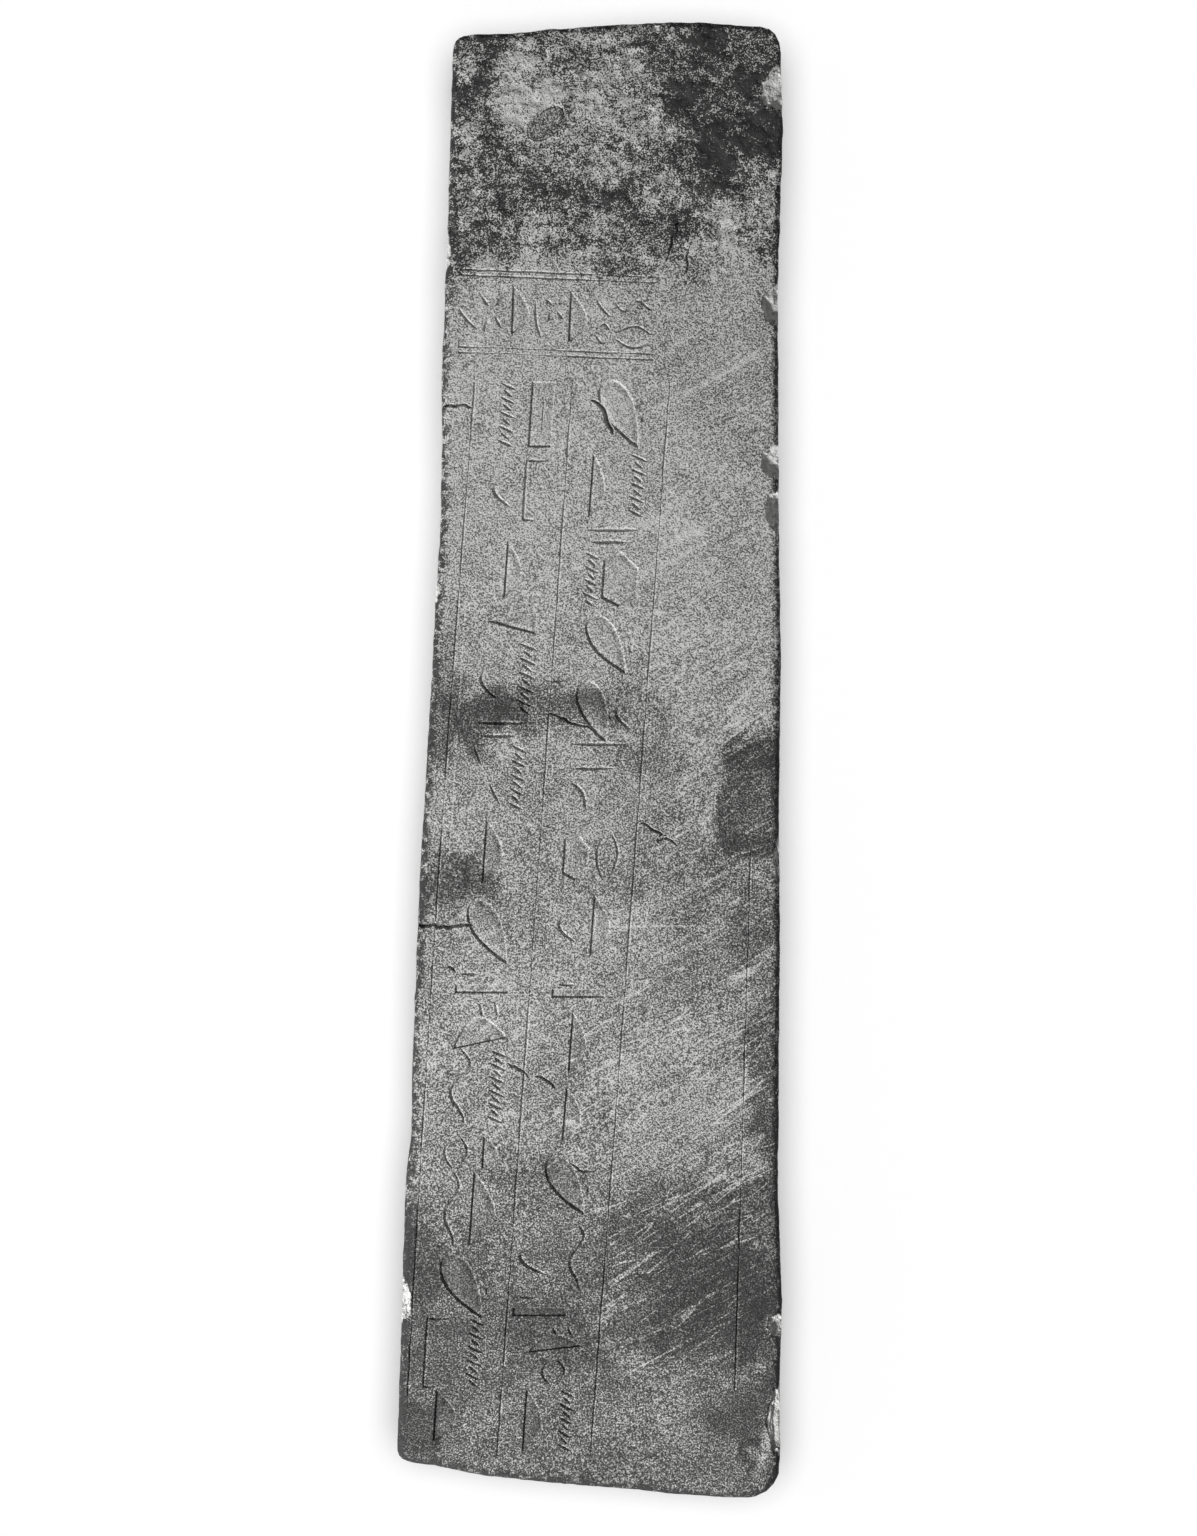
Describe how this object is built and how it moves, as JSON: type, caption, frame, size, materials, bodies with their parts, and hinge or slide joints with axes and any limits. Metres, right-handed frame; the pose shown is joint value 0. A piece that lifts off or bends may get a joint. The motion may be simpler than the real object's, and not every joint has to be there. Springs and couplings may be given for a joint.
{
  "type": "inscribed stone panel",
  "caption": "Long tapering slab of dressed grey stone with a framed band and two long rows of shallow cut marks between ruled lines; worn and chipped edges; lies on its back.",
  "frame": {"origin": "under the middle of the slab's bounding box, on the surface that it lies on", "axes": "+X towards the straight long edge, +Y towards the narrow end, +Z out of the inscribed face"},
  "size_m": [0.3884, 1.4794, 0.11],
  "materials": {
    "stone": "matt, fine-grained, worn and stained"
  },
  "bodies": {
    "root": {"inscribed_slab": "stone"}
  },
  "joints": []
}
